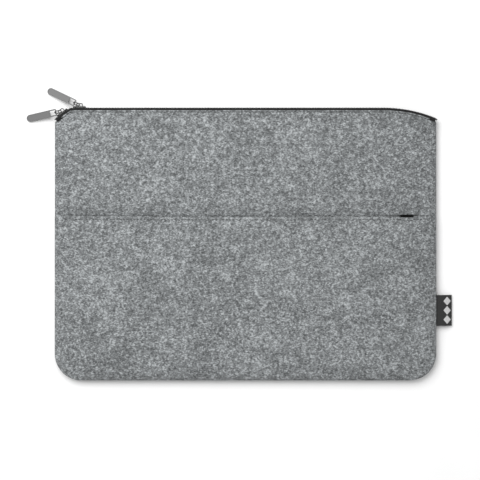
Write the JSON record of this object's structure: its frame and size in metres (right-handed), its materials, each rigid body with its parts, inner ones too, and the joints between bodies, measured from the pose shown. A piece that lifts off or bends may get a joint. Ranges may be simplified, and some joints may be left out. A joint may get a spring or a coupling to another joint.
{
  "type": "laptop sleeve",
  "caption": "Zipped felt laptop sleeve with an open-topped front pocket, zip sliders with long metal pullers, and a folded ribbon label in its side seam.",
  "frame": {"origin": "centre of the flat face that the sleeve lies on, at the middle of its width", "axes": "+X along the zip, towards the side with the label; +Y towards the zip; +Z out of the front pocket"},
  "size_m": [0.4261, 0.2929, 0.015],
  "materials": {
    "felt": "heather wool-like felt, matte",
    "zip_tape": "woven, matte",
    "zip_coil": "satin",
    "cord": "twisted thread",
    "thread": "twisted thread, matte",
    "ribbon": "woven ribbon, matte",
    "motif_thread": "woven thread",
    "black_metal": "satin black plating",
    "gunmetal": "brushed gunmetal"
  },
  "bodies": {
    "sleeve": {"back_panel": "felt", "front_panel": "felt", "zip_tape_front": "zip_tape", "zip_tape_back": "zip_tape", "zip_coil_front": "zip_coil", "zip_coil_back": "zip_coil", "coil_cord_front": "cord", "coil_cord_back": "cord", "zip_end_stop_left": "zip_tape", "zip_end_stop_right": "zip_tape", "zip_topstitch": "thread"},
    "pocket": {"pocket_panel": "felt", "pocket_hem_stitch": "thread"},
    "label": {"label_ribbon": "ribbon", "label_motif": "motif_thread"},
    "right_slider": {"slider_body_right": "black_metal", "slider_crown_right": "black_metal"},
    "right_link": {"puller_link_right": "black_metal"},
    "right_puller": {"puller_plate_right": "gunmetal"},
    "left_slider": {"slider_body_left": "black_metal", "slider_crown_left": "black_metal"},
    "left_link": {"puller_link_left": "black_metal"},
    "left_puller": {"puller_plate_left": "gunmetal"}
  },
  "joints": [
    {"name": "right_slider_travel", "type": "slide", "parent": "sleeve", "child": "right_slider", "axis": [1, 0, 0], "range_m": [0, 0.3]},
    {"name": "right_link_swing", "type": "hinge", "parent": "right_slider", "child": "right_link", "pos_m": [-0.16595, 0.13865, 0.0065], "axis": [0, 0, 1], "range_deg": [-128, 1]},
    {"name": "right_puller_swing", "type": "hinge", "parent": "right_link", "child": "right_puller", "pos_m": [-0.17076, 0.141, 0.0065], "axis": [0.4384, 0.8988, 0], "range_deg": [-60, 90]},
    {"name": "left_slider_travel", "type": "slide", "parent": "sleeve", "child": "left_slider", "axis": [-0.809, -0.5878, 0], "range_m": [-0.0002, 0.0017]},
    {"name": "left_link_swing", "type": "hinge", "parent": "left_slider", "child": "left_link", "pos_m": [-0.18417, 0.13273, 0.0065], "axis": [0, 0, 1], "range_deg": [-17, 0]},
    {"name": "left_puller_swing", "type": "hinge", "parent": "left_link", "child": "left_puller", "pos_m": [-0.18941, 0.13162, 0.0065], "axis": [-0.2079, 0.9781, 0], "range_deg": [-60, 90]},
    {"name": "pocket_opening", "type": "hinge", "parent": "sleeve", "child": "pocket", "pos_m": [0, -0.1365, 0.0056], "axis": [1, 0, 0], "range_deg": [0, 6], "stiffness_Nm_per_rad": 2},
    {"name": "label_bend", "type": "hinge", "parent": "sleeve", "child": "label", "pos_m": [0.19125, -0.0664, 0.0056], "axis": [0, -1, 0], "range_deg": [-70, 70], "stiffness_Nm_per_rad": 0.002}
  ]
}
